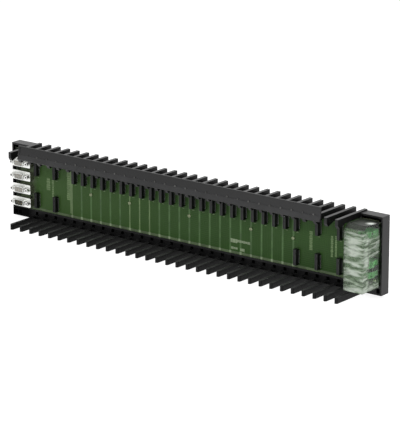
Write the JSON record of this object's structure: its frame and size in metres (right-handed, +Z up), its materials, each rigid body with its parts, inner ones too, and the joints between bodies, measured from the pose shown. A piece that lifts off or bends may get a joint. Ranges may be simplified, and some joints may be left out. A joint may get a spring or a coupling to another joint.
{
  "type": "redundancy base backplane",
  "caption": "Rail-mounted backplane: dark tray with two combs of guide ribs, green board with slot sockets, shell ports, label strip and covered supply terminals.",
  "frame": {"origin": "centre of the bounding box on the plane under the lower ribs", "axes": "+X along the row of slots towards the supply terminals, -Y out of the front towards the modules, +Z up to the label strip"},
  "size_m": [0.583, 0.0712, 0.1154],
  "materials": {
    "housing_plastic": "fine moulded grain, dark grey",
    "board_laminate": "green solder mask with pale printed lines",
    "socket_plastic": "black, greyer on the front face",
    "port_metal": "bright tin-plated pressing",
    "port_plastic": "pale grey insulator",
    "jack_metal": "bright plated hexagons",
    "screw_metal": "bright zinc plate",
    "terminal_plastic": "green terminal block",
    "fuse_plastic": "black",
    "cover_clear": "clear moulded hood, slightly milky",
    "carrier_plastic": "extruded strip, dark grey",
    "foot_plastic": "grey moulded foot"
  },
  "bodies": {
    "root": {"housing": "housing_plastic", "circuit_board": "board_laminate", "board_screws": "screw_metal", "upper_socket_01": "socket_plastic", "upper_socket_02": "socket_plastic", "upper_socket_03": "socket_plastic", "upper_socket_04": "socket_plastic", "upper_socket_05": "socket_plastic", "upper_socket_06": "socket_plastic", "upper_socket_07": "socket_plastic", "upper_socket_08": "socket_plastic", "upper_socket_09": "socket_plastic", "upper_socket_10": "socket_plastic", "upper_socket_11": "socket_plastic", "upper_socket_12": "socket_plastic", "upper_socket_13": "socket_plastic", "upper_socket_14": "socket_plastic", "upper_socket_15": "socket_plastic", "upper_socket_16": "socket_plastic", "upper_socket_17": "socket_plastic", "upper_socket_18": "socket_plastic", "upper_socket_19": "socket_plastic", "upper_socket_20": "socket_plastic", "upper_socket_21": "socket_plastic", "upper_socket_22": "socket_plastic", "upper_socket_23": "socket_plastic", "upper_socket_24": "socket_plastic", "upper_socket_25": "socket_plastic", "upper_socket_26": "socket_plastic", "upper_socket_27": "socket_plastic", "lower_socket_01": "socket_plastic", "lower_socket_02": "socket_plastic", "lower_socket_03": "socket_plastic", "lower_socket_04": "socket_plastic", "lower_socket_05": "socket_plastic", "port_shell_1": "port_metal", "port_body_1": "port_plastic", "port_shell_2": "port_metal", "port_body_2": "port_plastic", "port_shell_3": "port_metal", "port_body_3": "port_plastic", "port_shell_4": "port_metal", "port_body_4": "port_plastic", "jack_screws": "jack_metal", "supply_header_1": "terminal_plastic", "supply_plug_1": "terminal_plastic", "supply_header_2": "terminal_plastic", "supply_plug_2": "terminal_plastic", "supply_header_3": "terminal_plastic", "supply_plug_3": "terminal_plastic", "plug_screws": "screw_metal", "fuse_holder": "fuse_plastic", "terminal_cover": "cover_clear", "label_carrier": "carrier_plastic", "rail_foot_1": "foot_plastic", "rail_foot_2": "foot_plastic", "rail_foot_3": "foot_plastic", "foot_screws": "screw_metal"}
  },
  "joints": []
}
